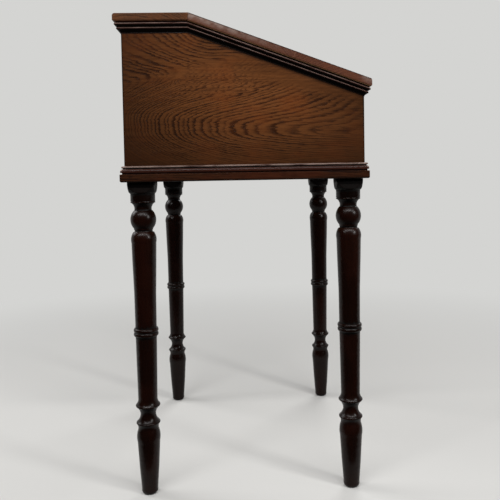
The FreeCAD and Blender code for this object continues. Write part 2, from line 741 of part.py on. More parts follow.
# The crest rail is housed in both sides and carries the front of the shelf; glue blocks hold its back.
node(box("crest_rail", crest_rail_low, crest_rail_high), "crest_rail")
glue_blocks = []
for position, label in ((-1, "left"), (0, "middle"), (1, "right")):
    glue_blocks.append(slab(f"glue_block_{label}", "YZ", [
        ("inner_half_depth", "shelf_underside - glue_block_leg"), ("inner_half_depth", "shelf_underside"),
        ("inner_half_depth - glue_block_leg", "shelf_underside"),
    ], f"{position} * glue_block_spacing - glue_block_length / 2", "glue_block_length"))
node(together("Part::Compound", "shelf_glue_blocks", glue_blocks), "shelf_glue_blocks")

# Cornice: two reeds and a cove under the overhang of the top, level at the back and raking with the lid.
cornice_profile = profile(
    CORNICE_SHARES, "-half_width", "cornice_projection", "shelf_underside", "cornice_height",
)
level_cornice = slab(
    "cornice_level_left", "XZ", cornice_profile,
    "wall_crest_y", "half_depth + cornice_projection - wall_crest_y",
)
mitre(level_cornice, corner_waste(-1, 1, "cornice_projection"))
node(level_cornice, "cornice_level_left")
node(mirror(level_cornice, ACROSS, "cornice_level_right"), "cornice_level_right")

raking_cornice = doc.addObject("PartDesign::Body", "cornice_raking_left")
raking_sketch = draw(raking_cornice, "XZ", cornice_profile, "wall_crest_y")
raking_pad = feature(
    raking_cornice, "Pad", raking_sketch,
    {"Length": "wall_crest_y + half_depth + cornice_projection"},
    UseCustomVector=True, AlongSketchNormal=True,
)
raking_pad.Direction = FreeCAD.Vector(0, -value("slope_cos"), -value("slope_sin"))
bind(raking_pad, {"Direction.y": "-slope_cos", "Direction.z": "-slope_sin"})
mitre(raking_cornice, corner_waste(-1, -1, "cornice_projection"))
node(raking_cornice, "cornice_raking_left")
node(mirror(raking_cornice, ACROSS, "cornice_raking_right"), "cornice_raking_right")
end_moulding(
    "cornice_back", CORNICE_SHARES, "half_depth", "cornice_projection", "shelf_underside", "cornice_height",
)
end_moulding(
    "cornice_front", CORNICE_SHARES, "-half_depth", "cornice_projection",
    "wall_front_top", "cornice_height", lean="slope_tan",
)

# Butt hinges: five knuckles round a pin on the crest line, with the leaves let in flush between the
# mitred edges of the shelf and the lid.


def leaf(side_name, side, turns):
    """One leaf of the left hinge, with the knuckles that are its own, ready for its screw holes."""
    low_y, high_y = ("crest_gap / 2", "crest_gap / 2 + leaf_thickness")
    if side < 0:
        low_y, high_y = (f"-({high_y})", f"-({low_y})")
    plate_low = ("hinge_start", low_y, "-leaf_width")
    plate_high = ("hinge_start + hinge_length", high_y, "0")
    foot = ("hinge_start",) + on_mitre(low_y, "leaf_width")
    pieces = [box(f"leaf_plate_{side_name}", plate_low, plate_high, ALONG_MITRE, foot)]
    reliefs = []
    for number in range(KNUCKLE_COUNT):
        start = f"hinge_start + {number} * knuckle_pitch"
        if number in turns:
            at = (f"{start} + knuckle_play / 2", "crest_y", "desk_height")
            length = "knuckle_pitch - knuckle_play"
            pieces.append(rod(f"knuckle_{side_name}_{number}", "knuckle_diameter", length, at, TO_RIGHT))
        else:
            at = (f"{start} - knuckle_play / 2", "crest_y", "desk_height")
            wide = "knuckle_diameter + 2 * knuckle_play"
            length = "knuckle_pitch + knuckle_play"
            reliefs.append(rod(f"relief_{side_name}_{number}", wide, length, at, TO_RIGHT))
    bore = rod(
        f"pin_bore_{side_name}", "hinge_pin_diameter + 2 * fit_clearance", "hinge_length",
        ("hinge_start", "crest_y", "desk_height"), TO_RIGHT,
    )
    shape = together("Part::MultiFuse", f"leaf_blank_{side_name}", pieces)
    return cut(shape, reliefs + [bore], f"leaf_{side_name}")


def hinge_recess(side_name, side):
    """The bed for one leaf and for the knuckles, in the edge of the shelf or of the lid."""
    low_y, high_y = ("-overrun", "crest_gap / 2 + leaf_thickness")
    if side < 0:
        low_y, high_y = (f"-({high_y})", "overrun")
    low = ("hinge_start - knuckle_play", low_y, "-leaf_width")
    high = ("hinge_start + hinge_length + knuckle_play", high_y, "overrun")
    bed = box(f"leaf_bed_{side_name}", low, high, ALONG_MITRE, (low[0],) + on_mitre(low_y, "leaf_width"))
    barrel = rod(
        f"barrel_bed_{side_name}", "knuckle_diameter + 2 * knuckle_play", "hinge_length + 2 * knuckle_play",
        (low[0], "crest_y", "desk_height"), TO_RIGHT,
    )
    return together("Part::MultiFuse", f"hinge_bed_{side_name}", [bed, barrel])


def hinge_screw_places(side):
    """Three screws in each leaf of both hinges, on the leaf's face and below the knuckles."""
    face = "crest_gap / 2" if side > 0 else "-crest_gap / 2"
    below = "leaf_width * leaf_screw_share"
    return [
        (f"{hand} * (hinge_start + hinge_length * {share})",) + on_mitre(face, below)
        for hand in (1, -1) for share in LEAF_SCREW_SHARES
    ]


shelf_hinge_holes = screws(
    "hinge_shelf_screws", hinge_screw_places(1), INTO_SHELF, "hinge_screw", "hinge_screw_length",
)
lid_hinge_holes = screws(
    "hinge_lid_screws", hinge_screw_places(-1), INTO_LID_EDGE, "hinge_screw", "hinge_screw_length",
)
shelf_leaf = cut(leaf("shelf", 1, range(0, KNUCKLE_COUNT, 2)), [shelf_hinge_holes], "hinge_leaf_shelf")
node(shelf_leaf, "hinge_leaf_shelf_left")
node(mirror(shelf_leaf, ACROSS, "hinge_leaf_shelf_right"), "hinge_leaf_shelf_right")
hinge_pin = rod(
    "hinge_pin_left", "hinge_pin_diameter", "hinge_length",
    ("hinge_start", "crest_y", "desk_height"), TO_RIGHT,
)
node(hinge_pin, "hinge_pin_left")
node(mirror(hinge_pin, ACROSS, "hinge_pin_right"), "hinge_pin_right")

# Top shelf: the level board behind the crest, with a rounded nose at the back and eased ends.


def end_arrises(inner_faces):
    """A test for the arrises round both ends of a top board, but not on the faces where it is joined."""
    def test(edge):
        at_end = any(lies_at(edge.XMin, edge.XMax, end) for end in ("-top_half_width", "top_half_width"))
        return at_end and not any(face(edge) for face in inner_faces)
    return test


def nose_arris(y, z):
    """A test for the long arris of a top board that runs across the desk at a depth and height."""
    def test(edge):
        return lies_at(edge.YMin, edge.YMax, y) and lies_at(edge.ZMin, edge.ZMax, z)
    return test


def joint_face(first, second):
    """A test for an edge that runs between two corners of a board's section."""
    spans = [sorted((value(a), value(b))) for a, b in zip(first, second)]
    near = value("fit_clearance")

    def test(edge):
        box_spans = ((edge.YMin, edge.YMax), (edge.ZMin, edge.ZMax))
        gaps = [abs(a - b) for span, here in zip(spans, box_spans) for a, b in zip(span, here)]
        return max(gaps) < near
    return test


shelf_crest_top = ("crest_y + crest_gap / 2 / mitre_cos", "desk_height")
shelf_crest_foot = ("crest_y + crest_mitre_run", "shelf_underside")
shelf = slab("shelf_board", "YZ", [
    shelf_crest_foot, ("top_half_depth", "shelf_underside"),
    ("top_half_depth", "desk_height"), shelf_crest_top,
], "-top_half_width", "2 * top_half_width")
rounded(shelf, "nose_top_round", nose_arris("top_half_depth", "desk_height"))
rounded(shelf, "nose_bottom_round", nose_arris("top_half_depth", "shelf_underside"))
rounded(shelf, "edge_round", end_arrises([joint_face(shelf_crest_top, shelf_crest_foot)]))
shelf_bed = hinge_recess("shelf", 1)
shelf_beds = [shelf_bed, mirror(shelf_bed, ACROSS, "hinge_bed_shelf_right")]
node(cut(shelf, shelf_beds + [shelf_hinge_holes], "top_shelf"), "top_shelf")

# Lid: three boards glued edge to edge, the lowest with a rounded plumb nose that matches the shelf's.
batten_low = "batten_margin"
batten_high = "(crest_y + inner_half_depth) / slope_cos - batten_margin"
batten_places = [
    (f"{side} * batten_spacing / 2",)
    + on_slope(
        f"({batten_low}) + ({batten_high} - ({batten_low})) * {share}", "top_thickness + batten_thickness",
    )
    for side in (-1, 1) for share in BATTEN_SCREW_SHARES
]
batten_holes = screws(
    "batten_screws", batten_places, INTO_LID, "batten_screw", "batten_screw_length",
)
strike_screw_places = [
    (f"{side} * (strike_length / 2 - lock_screw_edge)",) + on_slope("strike_along", "top_thickness")
    for side in (-1, 1)
]
strike_holes = screws(
    "strike_screws", strike_screw_places, INTO_LID, "lock_screw", "strike_screw_length",
)
strike_seat_at = on_slope("strike_along + strike_width / 2", "top_thickness")
strike_blank = box(
    "strike_blank", ("-strike_length / 2", "0", "0"),
    ("strike_length / 2", "strike_width", "strike_thickness"),
    INTO_LID, ("-strike_length / 2",) + strike_seat_at,
)
bolt_slot = box(
    "bolt_slot",
    ("-bolt_width / 2 - strike_play", "bolt_y - bolt_thickness / 2 - strike_play", "lock_top - overrun"),
    ("bolt_width / 2 + strike_play", "bolt_y + bolt_thickness / 2 + strike_play",
     "lock_top - bolt_setback + bolt_throw + strike_play"),
)
lid_bed = hinge_recess("lid", -1)
lid_beds = [lid_bed, mirror(lid_bed, ACROSS, "hinge_bed_lid_right")]
lid_joint = "lid_upper_width + lid_middle_width"
nose_foot = "lid_length + top_thickness * slope_tan"
lid_boards = (
    ("lid_board_upper", "crest_gap / 2 / mitre_cos", "crest_mitre_run",
     "lid_upper_width", "lid_upper_width", lid_beds + [lid_hinge_holes, batten_holes]),
    ("lid_board_middle", "lid_upper_width", "lid_upper_width", lid_joint, lid_joint, [batten_holes]),
    ("lid_board_lower", lid_joint, lid_joint, "lid_length", nose_foot,
     [batten_holes, strike_blank, strike_holes, bolt_slot]),
)
for label, start_top, start_foot, end_top, end_foot, tools in lid_boards:
    start_corners = [on_slope(start_foot, "top_thickness"), on_slope(start_top, "0")]
    end_corners = [on_slope(end_top, "0"), on_slope(end_foot, "top_thickness")]
    section = start_corners + end_corners
    board = slab(label + "_plank", "YZ", section, "-top_half_width", "2 * top_half_width")
    joints = [joint_face(*start_corners)]
    if label == "lid_board_lower":
        rounded(board, "nose_top_round", nose_arris(*end_corners[0]))
        rounded(board, "nose_bottom_round", nose_arris(*end_corners[1]))
    else:
        joints.append(joint_face(*end_corners))
    rounded(board, "edge_round", end_arrises(joints))
    node(cut(board, tools, label), label)
for label, side in (("lid_batten_left", -1), ("lid_batten_right", 1)):
    corners = [
        on_slope(along, below) for along, below in (
            (batten_low, "top_thickness"), (batten_low, "top_thickness + batten_thickness"),
            (batten_high, "top_thickness + batten_thickness"), (batten_high, "top_thickness"),
        )
    ]
    batten = slab(
        label + "_bar", "YZ", corners, f"{side} * batten_spacing / 2 - batten_width / 2", "batten_width",
    )
    node(cut(batten, [batten_holes], label), label)
lid_leaf = cut(leaf("lid", -1, range(1, KNUCKLE_COUNT, 2)), [lid_hinge_holes], "hinge_leaf_lid")
node(lid_leaf, "hinge_leaf_lid_left")
node(mirror(lid_leaf, ACROSS, "hinge_leaf_lid_right"), "hinge_leaf_lid_right")

# Lock: a flush case in the front board, whose bolt rises into a strike let into the lid's underside.
node(cut(strike_blank, [strike_holes, bolt_slot], "strike_plate"), "strike_plate")
lock_block = box("lock_block", lock_low, ("lock_width / 2", "lock_face_y", "lock_top"))
bolt_way = box(
    "bolt_way",
    ("-bolt_width / 2 - bolt_play", "bolt_y - bolt_thickness / 2 - bolt_play", "bolt_bottom - bolt_play"),
    ("bolt_width / 2 + bolt_play", "bolt_y + bolt_thickness / 2 + bolt_play", "lock_top + overrun"),
)
node(cut(lock_block, [bolt_way, keyhole, lock_holes], "lock_case"), "lock_case")
node(box(
    "lock_bolt", ("-bolt_width / 2", "bolt_y - bolt_thickness / 2", "bolt_bottom"),
    ("bolt_width / 2", "bolt_y + bolt_thickness / 2", "lock_top - bolt_setback"),
), "lock_bolt")
end_swell_share = 0.4
straight_end = f"(escutcheon_height / 2 - escutcheon_width * {end_swell_share})"
plate = slab("escutcheon_plate", "XZ", [
    ("-escutcheon_width / 2", f"key_height - {straight_end}", end_swell_share),
    ("escutcheon_width / 2", f"key_height - {straight_end}", 0),
    ("escutcheon_width / 2", f"key_height + {straight_end}", end_swell_share),
    ("-escutcheon_width / 2", f"key_height + {straight_end}", 0),
], "-half_depth - escutcheon_thickness", "escutcheon_thickness")
node(cut(plate, [keyhole, pin_holes], "escutcheon"), "escutcheon")

doc.recompute()
failed = [item.Name for item in doc.Objects if {"Invalid", "Error"} & set(item.State)]
bad = [piece.Label for piece in nodes if piece.Shape.isNull() or not piece.Shape.isValid()]
if failed or bad:
    raise RuntimeError(f"Objects that failed: {failed}; sub-parts without a sound shape: {bad}")
os.makedirs("parts", exist_ok=True)
for piece in nodes:
    piece.Shape.exportStep(f"parts/{piece.Label}.step")
print(len(nodes), "sub-parts written")
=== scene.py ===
import bmesh
import bpy
import math
from mathutils import Matrix, Vector, noise


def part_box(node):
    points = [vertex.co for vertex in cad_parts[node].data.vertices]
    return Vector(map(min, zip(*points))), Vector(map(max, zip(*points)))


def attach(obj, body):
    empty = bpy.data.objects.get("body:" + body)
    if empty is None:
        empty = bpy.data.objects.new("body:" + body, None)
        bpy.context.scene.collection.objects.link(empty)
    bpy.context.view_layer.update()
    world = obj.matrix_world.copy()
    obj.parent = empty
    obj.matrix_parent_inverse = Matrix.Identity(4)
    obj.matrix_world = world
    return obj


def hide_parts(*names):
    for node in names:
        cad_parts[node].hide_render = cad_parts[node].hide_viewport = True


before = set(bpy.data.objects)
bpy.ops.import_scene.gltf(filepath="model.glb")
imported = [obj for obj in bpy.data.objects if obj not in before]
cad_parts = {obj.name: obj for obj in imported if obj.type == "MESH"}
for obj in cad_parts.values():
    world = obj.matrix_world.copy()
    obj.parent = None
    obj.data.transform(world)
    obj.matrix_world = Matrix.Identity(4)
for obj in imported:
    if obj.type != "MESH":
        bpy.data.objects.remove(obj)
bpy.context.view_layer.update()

# Legs: four oak squares turned between centres, with a block left square at the top of each. Rings, ball
# and foot are cut by hand and eye, stained nearly black and waxed. A round tenon holds each in the frame.


class Wire:
    """One output among a material's nodes. Arithmetic on it adds the Math nodes that work it out."""

    def __init__(self, tree, socket=None):
        self.tree = tree
        self.socket = socket

    def node(self, kind, settings, sockets, out=0):
        """A new node with its settings, what its sockets hold or take in, and the output to go on from."""
        made = self.tree.nodes.new("ShaderNode" + kind)
        for name, value in settings.items():
            setattr(made, name, value)
        for name, value in sockets.items():
            if isinstance(value, Wire):
                self.tree.links.new(value.socket, made.inputs[name])
            else:
                made.inputs[name].default_value = value
        return Wire(self.tree, made.outputs[out] if len(made.outputs) else None)

    def math(self, operation, *values):
        return self.node("Math", {"operation": operation}, dict(enumerate(values)))

    def __add__(self, other):
        return self.math("ADD", self, other)

    def __sub__(self, other):
        return self.math("SUBTRACT", self, other)

    def __rsub__(self, other):
        return self.math("SUBTRACT", other, self)

    def __mul__(self, other):
        return self.math("MULTIPLY", self, other)

    def __truediv__(self, other):
        return self.math("DIVIDE", self, other)

    def __pow__(self, other):
        return self.math("POWER", self, other)

    __radd__ = __add__
    __rmul__ = __mul__

    def size(self):
        """The value without its sign."""
        return self.math("ABSOLUTE", self)

    def most(self, other):
        """The greater of the two."""
        return self.math("MAXIMUM", self, other)

    def ramp(self, low, high):
        """0 at low and 1 at high, eased between."""
        limits = {"Value": self, "From Min": low, "From Max": high}
        return self.node("MapRange", {"interpolation_type": "SMOOTHSTEP"}, limits)

    def along(self, direction):
        """How far a place is along a direction."""
        return self.node("VectorMath", {"operation": "DOT_PRODUCT"}, {0: self, 1: direction}, "Value")

    def cloud(self, stretch, detail=2.0):
        """Noise from 0 to 1 about a half, with so many swells to the metre each way."""
        at = self.node("VectorMath", {"operation": "MULTIPLY"}, {0: self, 1: stretch})
        return self.node("TexNoise", {}, {"Vector": at, "Scale": 1.0, "Detail": detail})

    def steps(self, often):
        """Noise from 0 to 1 along one value."""
        at = {"W": self * often, "Scale": 1.0, "Detail": 1.0}
        return self.node("TexNoise", {"noise_dimensions": "1D"}, at)

    def mix(self, first, second):
        """The first colour where the value is 0 and the second where it is 1. The node takes colours at its
        sockets 6 and 7 and gives one at 2."""
        kind = {"data_type": "RGBA", "clamp_factor": True}
        return self.node("Mix", kind, {0: self, 6: first, 7: second}, 2)


def start_nodes(block):
    """Empties the nodes of a material or a world and gives a Wire to start the new ones from."""
    block.use_nodes = True
    block.node_tree.nodes.clear()
    return Wire(block.node_tree)


def tone(red, green, blue):
    """A colour as a picture shows it, 0 to 255, as the light it sends back (the sRGB curve)."""
    parts = [value / 255 for value in (red, green, blue)]
    return tuple(p / 12.92 if p < 0.04045 else ((p + 0.055) / 1.055) ** 2.4 for p in parts) + (1.0,)


def oak(name, grain, heart, stain, ring=0.0045, lean=0.0, skew=0.0, sway=0.010, polish=0.36, depth=1.0,
        gloss=0.07, wear_and_highlight_share=0.5, wear_highlight_rise=-0.6, under=0.3, turned=0.05, growth=None, ageing_and_painted_light=None, inside=None,
        dull=None):
    """Stained oak, cut from a log whose heart runs past the given point along the grain.
    ring is a year's growth, which lean, skew and sway take off true. polish is how rough the surface is,
    gloss how strongly it shines and depth how far the figure shows. wear_and_highlight_share is how far the
    edges are rubbed bare and given a painted highlight where the surface rises by more than
    wear_highlight_rise, and under how dark the painted shade is on a face that turns down by more than
    turned. growth takes a place along the log, across it and through it, and the log, and gives its year and
    how clear the rings are.
    ageing_and_painted_light takes a place and a colour and gives the colour aged, with any painted light or
    shade. inside is the way that a face left bare looks, and its stain. dull takes a place and gives how much
    rougher it is there."""
    ripple_size = 0.0050
    ragged_size = 0.0065
    pore_depth = 0.00008
    ripple_depth = 0.008
    material = bpy.data.materials.new(name)
    place = start_nodes(material).node("TexCoord", {}, {}, "Object")
    grain = Vector(grain).normalized()
    side = grain.cross((0, 0, 1) if abs(grain.z) < 0.9 else (1, 0, 0)).normalized()
    deep = side.cross(grain)
    heart = Vector(heart)
    along = place.along(grain) - grain.dot(heart)
    across = place.along(side) - side.dot(heart)
    through = place.along(deep) - deep.dot(heart)
    log = place.node("CombineXYZ", {}, {0: along, 1: across, 2: through})
    # Growth rings: distance from the heart, with the log's bends and the ragged edge that the pores give
    bends = (log.cloud((2.4, 7.0, 7.0)) - 0.5) * sway
    ripple = (log.cloud((16.0, 70.0, 70.0)) - 0.5) * ripple_size
    ragged = (log.cloud((45.0, 420.0, 420.0), 3.0) - 0.5) * ragged_size
    if growth:
        years, clear = growth(along, across, through, log)
    else:
        years = ((across * across + through * through) ** 0.5 + through * skew - along * lean) / ring
    years = years + (bends + ripple + ragged) / ring
    # No two years are as wide or as dark, and the spring's wood is the dark and open part of each
    years = years + (years.steps(0.4) - 0.5) * 1.3
    season = years.math("FRACT", years)
    spring = season.ramp(0.0, 0.12) * (1 - season.ramp(0.18, 0.70))
    spring = spring * (years.math("FLOOR", years).steps(3.7) * 1.4 + 0.2)
    if growth:
        spring = spring * clear
    # Pores, fibres and the uneven take of the stain
    pores = log.cloud((110.0, 2400.0, 2400.0), 1.0).ramp(0.56, 0.70) * (spring * 0.75 + 0.2)
    fibre = log.cloud((16.0, 800.0, 800.0), 3.0) - 0.5
    streak = log.cloud((3.0, 60.0, 60.0), 3.0) - 0.5
    fleck = log.cloud((26.0, 330.0, 330.0), 3.0) - 0.5
    patch = place.cloud((9.0, 9.0, 9.0), 3.0)
    scuff = log.cloud((22.0, 170.0, 170.0), 4.0)
    # Where the surface is rubbed bare and lit from above (rubbing with a painted highlight), darker in its
    # hollows (dirt with painted shade), turned down into painted shade, cut across the grain or left bare
    bend = place.node("Attribute", {"attribute_name": "bend"}, {}, "Fac")
    normal = place.node("TexCoord", {}, {}, "Normal")
    rise = normal.along((0, 0, 1))
    # Edges that face up: rubbed bare, and a painted highlight, brightest on the tops of reeds and arrises
    worn_and_highlight = bend.ramp(0.2, 0.8) * scuff.ramp(0.25, 0.62) * rise.ramp(wear_highlight_rise, wear_highlight_rise + 0.6)
    # Hollows and creases: darker with dirt, and with painted shade in quirks and gaps
    hollow_dirt_and_shade = (0 - bend).ramp(0.08, 0.5)
    # Faces that turn down get painted shade, the pore colour mixed in as they turn away from the light above
    shade = (0 - rise).ramp(turned, turned + 0.65) * under
    end = normal.along(grain).size().ramp(0.5, 0.85)
    if inside:
        inward, bare_tones = inside
        bare = normal.along(inward).ramp(0.6, 0.9)
        stain = {key: bare.mix(stained, bare_tones[key]) for key, stained in stain.items()}
    # The colour, from the stained wood up to the dirt, the rubbing and the painted highlight and shade on it
    dark = end * 0.3 + spring * depth + fibre * 0.65 + streak * 0.6 + fleck * 1.35 + 0.10
    if growth:
        dark = dark + (1 - clear) * 0.12
    colour = dark.mix(stain["pale"], stain["deep"])
    colour = ((patch + streak * 0.5).ramp(0.42, 0.72) * 0.5).mix(colour, stain["warm"])
    colour = (pores * 0.75 * depth).mix(colour, stain["pore_and_shade"])
    colour = (worn_and_highlight * wear_and_highlight_share).mix(colour, stain["worn_and_highlight"])
    # The pore colour also serves as painted shade, here and in the ageing functions
    colour = (hollow_dirt_and_shade * 0.8).mix(colour, stain["pore_and_shade"])
    colour = shade.mix(colour, stain["pore_and_shade"])
    # The ageing functions paint shade, shadow and sheen as well as dirt and rubbing
    if ageing_and_painted_light and inside:
        colour = bare.mix(ageing_and_painted_light(place, colour), colour)
    elif ageing_and_painted_light:
        colour = ageing_and_painted_light(place, colour)
    # The polish and the feel of the grain
    rough = polish + pores * 0.16 + (patch - 0.5) * 0.14 + (scuff - 0.5) * 0.10 + hollow_dirt_and_shade * 0.25 + shade * 0.3
    if inside:
        rough = rough + bare * 0.2
    if dull:
        rough = rough + dull(place)
    height = (fibre * 0.4 - spring * 0.6 - pores) * (pore_depth * depth) + ripple * ripple_depth
    relief = place.node("Bump", {}, {"Strength": 1.0, "Distance": 1.0, "Height": height}, "Normal")
    shader = place.node("BsdfPrincipled", {}, {
        "Base Color": colour, "Roughness": rough, "Normal": relief, "Specular IOR Level": gloss}, "BSDF")
    place.node("OutputMaterial", {}, {"Surface": shader})
    return material


def placed(name, data):
    """A new object in the scene."""
    thing = bpy.data.objects.new(name, data)
    bpy.context.scene.collection.objects.link(thing)
    return thing


def finished(node, name, body, material, arris=0.0, cuts=(), uneven=0.0, soft_angle=34.0,
             span=0.0015):
    """The piece that stands for a solid: arrises eased, and flats as uneven as hand tools leave them.
    Each cut is a direction and the spacing of the planes across it that give the flats their points. The
    bend of the surface, which the rubbed edges, the dirt and the painted highlight and shade follow, is taken
    over no less than the span."""
    same_place = 1e-6
    flat = math.radians(0.4)
    long_edge = 0.006
    sharp_edge = math.radians(50)
    rim = 0.002
    shoulder = 0.005
    room_for_rims = 0.012
    weld = 6e-6
    bend_scale = 0.0025
    broad_swells = 9.0
    fine_swells = 31.0
    shape = bmesh.new()
    shape.from_mesh(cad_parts[node].data)
    bmesh.ops.remove_doubles(shape, verts=shape.verts, dist=same_place)
    if arris:
        bmesh.ops.dissolve_limit(shape, angle_limit=flat, verts=shape.verts, edges=shape.edges)
        long_edges = [e for e in shape.edges if e.calc_length() > long_edge and len(e.link_faces) == 2
                      and e.calc_face_angle_signed(0.0) > sharp_edge]
        bmesh.ops.bevel(shape, geom=long_edges, offset=arris, offset_type="OFFSET", segments=2, profile=0.5,
                        affect="EDGES", clamp_overlap=True)
    for direction, spacing in cuts:
        direction = Vector(direction)
        spots = [direction.dot(v.co) for v in shape.verts]
        low, high = min(spots), max(spots)
        count = max(1, round((high - low) / spacing))
        planes = [low + (high - low) * i / count for i in range(1, count)]
        if high - low > room_for_rims:
            planes += [low + rim, low + shoulder, high - shoulder, high - rim]
        for at in planes:
            every = shape.verts[:] + shape.edges[:] + shape.faces[:]
            bmesh.ops.bisect_plane(shape, geom=every, dist=same_place, plane_co=direction * at,
                                   plane_no=direction)
    bmesh.ops.remove_doubles(shape, verts=shape.verts, dist=weld)
    bmesh.ops.dissolve_degenerate(shape, edges=shape.edges, dist=weld)
    shape.normal_update()
    bends = []
    for v in shape.verts:
        gaps = [(e.other_vert(v), e.other_vert(v).co - v.co) for e in v.link_edges]
        turns = [(far.normal - v.normal).dot(gap.normalized()) / max(gap.length, span) for far, gap in gaps]
        bends.append(max(turns, key=abs, default=0.0) * bend_scale)
    if uneven:
        for v in shape.verts:
            broad = noise.noise(v.co * broad_swells)
            fine = noise.noise(v.co * fine_swells)
            v.co += v.normal * min(broad + 0.5 * fine - 0.4, 0.0) * uneven
    mesh = bpy.data.meshes.new(name)
    shape.to_mesh(mesh)
    shape.free()
    mesh.attributes.new("bend", "FLOAT", "POINT").data.foreach_set("value", bends)
    mesh.shade_smooth()
    mesh.set_sharp_from_angle(angle=math.radians(soft_angle))
    mesh.materials.append(material)
    piece = placed(name, mesh)
    even = piece.modifiers.new("even_shading", "WEIGHTED_NORMAL")
    even.keep_sharp = True
    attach(piece, body)
    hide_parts(node)


leg_stain = {"pale": tone(18, 5, 2), "deep": tone(7, 3, 2), "pore_and_shade": tone(3, 2, 1),
             "warm": tone(33, 9, 3), "worn_and_highlight": tone(54, 28, 20)}


def leg_shade_under_frame(place, colour):
    """Painted shade up under the frame, where the frame keeps the light off the top of the leg."""
    ball, block = 0.64, 0.75
    # Painted shade darkening the leg from the ball up to the block
    frame_shade = place.along((0, 0, 1)).ramp(ball, block) * 0.7
    return frame_shade.mix(colour, leg_stain["pore_and_shade"])


def leg_dull(place):
    """The square blocks were left off the lathe and took no burnish."""
    block_foot = 0.740
    return place.along((0, 0, 1)).ramp(block_foot, block_foot + 0.004) * 0.3


# Where the heart of each leg's log lies from the leg
log_hearts = {("front", "left"): (0.070, 0.040), ("front", "right"): (-0.055, 0.075),
              ("back", "left"): (0.085, -0.030), ("back", "right"): (-0.040, -0.080)}
for i, ((end, side), (heart_x, heart_y)) in enumerate(log_hearts.items()):
    node = f"leg_{end}_{side}"
    low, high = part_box(node)
    heart = ((low.x + high.x) / 2 + heart_x, (low.y + high.y) / 2 + heart_y, 0.2 * i)
    leg_oak = oak(f"leg_oak_{end}_{side}", (0, 0, 1), heart, leg_stain, ring=0.006, lean=0.012, polish=0.26,
                  depth=0.12, gloss=0.15, wear_and_highlight_share=0.35, under=0.6, ageing_and_painted_light=leg_shade_under_frame, dull=leg_dull)
    finished(node, f"turned_leg_{end}_{side}", "carcase", leg_oak, cuts=[((0, 0, 1), 0.014)],
             uneven=0.0001, soft_angle=40.0)

# Base frame: four flat oak rails that the legs stand under, tenoned into one another at the corners. Their
# outer edges are rounded over with a plane, and stained a little lighter than the legs.

base_stain = {"pale": tone(50, 27, 14), "deep": tone(24, 11, 6), "pore_and_shade": tone(10, 5, 3),
              "warm": tone(62, 25, 11), "worn_and_highlight": tone(112, 88, 76)}
rail_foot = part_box("base_rail_left")[0].z


def rail_foot_darkening(place, colour):
    """The rails darker towards their foot."""
    darkening = (1 - place.along((0, 0, 1)).ramp(rail_foot, rail_foot + 0.008)) * 0.6
    return darkening.mix(colour, base_stain["pore_and_shade"])


runs = {"left": (0, 1, 0), "right": (0, 1, 0), "front": (1, 0, 0), "back": (1, 0, 0)}
for i, (where, grain) in enumerate(runs.items()):
    node = f"base_rail_{where}"
    low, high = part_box(node)
    heart = ((low.x + high.x) / 2 + 0.02, (low.y + high.y) / 2 + 0.03, low.z - 0.05 - 0.02 * i)
    # The rails' top arris is rubbed bare and given a painted highlight
    rail_oak = oak(f"rail_oak_{where}", grain, heart, base_stain, ring=0.004, lean=0.03, depth=0.8, wear_and_highlight_share=0.7,
                   wear_highlight_rise=-0.05, ageing_and_painted_light=rail_foot_darkening)
    finished(node, f"rail_{where}", "carcase", rail_oak, arris=0.0010,
             cuts=[(grain, 0.045), ((0, 0, 1), 0.02)], uneven=0.00022)

# Base mouldings: lengths of oak worked with a moulding plane to a fillet, a quirk and an ovolo. They are
# mitred at the corners and glued and pinned round the foot of the box.

moulding_stain = {"pale": tone(48, 21, 13), "deep": tone(25, 11, 6), "pore_and_shade": tone(5, 3, 2),
                  "warm": tone(56, 24, 12), "worn_and_highlight": tone(146, 126, 117)}
bead_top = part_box("base_moulding_left")[1].z


def bead_rubbing_and_highlight(place, colour):
    """The top bead made lighter along the foot of the box: some rubbing by the duster, and a painted
    highlight where the light from above catches it.
    """
    # Painted highlight, with some rubbing, on the top few millimetres of the bead
    rubbed = place.along((0, 0, 1)).ramp(bead_top - 0.0050, bead_top - 0.0020)
    rubbed = rubbed * place.cloud((24.0, 24.0, 160.0), 4.0).ramp(0.25, 0.6) * 0.55
    return rubbed.mix(colour, moulding_stain["worn_and_highlight"])


for i, (where, grain) in enumerate(runs.items()):
    node = f"base_moulding_{where}"
    low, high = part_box(node)
    heart = (low + high) / 2 + Vector((0.03, 0.04, -0.06 - 0.01 * i))
    # The ovolo and fillet tops get a painted highlight with their rubbed edges, and the quirk and undersides
    # painted shade
    base_moulding_oak = oak(f"base_moulding_oak_{where}", grain, heart, moulding_stain, ring=0.003, lean=0.01,
                            polish=0.32, depth=0.35, gloss=0.18, wear_and_highlight_share=0.9, wear_highlight_rise=0.0, under=0.8,
                            ageing_and_painted_light=bead_rubbing_and_highlight)
    finished(node, f"foot_moulding_{where}", "carcase", base_moulding_oak,
             cuts=[(grain, 0.02)], uneven=0.00008, soft_angle=28.0)

# Box walls: wide oak boards with the grain running level, stained brown and polished outside and left bare
# inside. The sides are cut to the slope and rebated to take the front and back boards, which are glued in.

wall_stain = {"pale": tone(100, 59, 29), "deep": tone(47, 23, 9), "pore_and_shade": tone(18, 8, 3),
              "warm": tone(106, 54, 20), "worn_and_highlight": tone(116, 76, 46)}
bare_stain = {"pale": tone(142, 108, 74), "deep": tone(104, 74, 46), "pore_and_shade": tone(58, 38, 24),
              "warm": tone(136, 94, 56), "worn_and_highlight": tone(168, 136, 100)}
face_depth = 0.032


